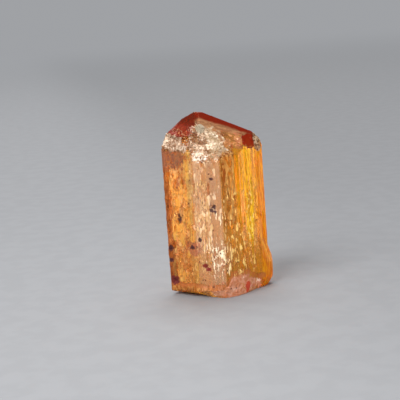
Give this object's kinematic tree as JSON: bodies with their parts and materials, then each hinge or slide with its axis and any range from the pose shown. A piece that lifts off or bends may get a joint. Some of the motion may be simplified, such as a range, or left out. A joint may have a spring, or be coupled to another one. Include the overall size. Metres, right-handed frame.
{
  "type": "topaz crystal",
  "caption": "Rough golden-orange topaz prism, striated along its length, with a ridge-shaped pyramid on top and a broken base it stands on.",
  "frame": {"origin": "on the flat of the broken base, on the crystal's long axis", "axes": "+Z along the crystal's c axis, from the base towards the point; +X along its b axis, towards the lobed edge; the front, with the frosted hollow, faces -Y"},
  "size_m": [0.0131, 0.0101, 0.0224],
  "materials": {
    "topaz": "gloss"
  },
  "bodies": {
    "root": {"topaz_crystal": "topaz"}
  },
  "joints": []
}
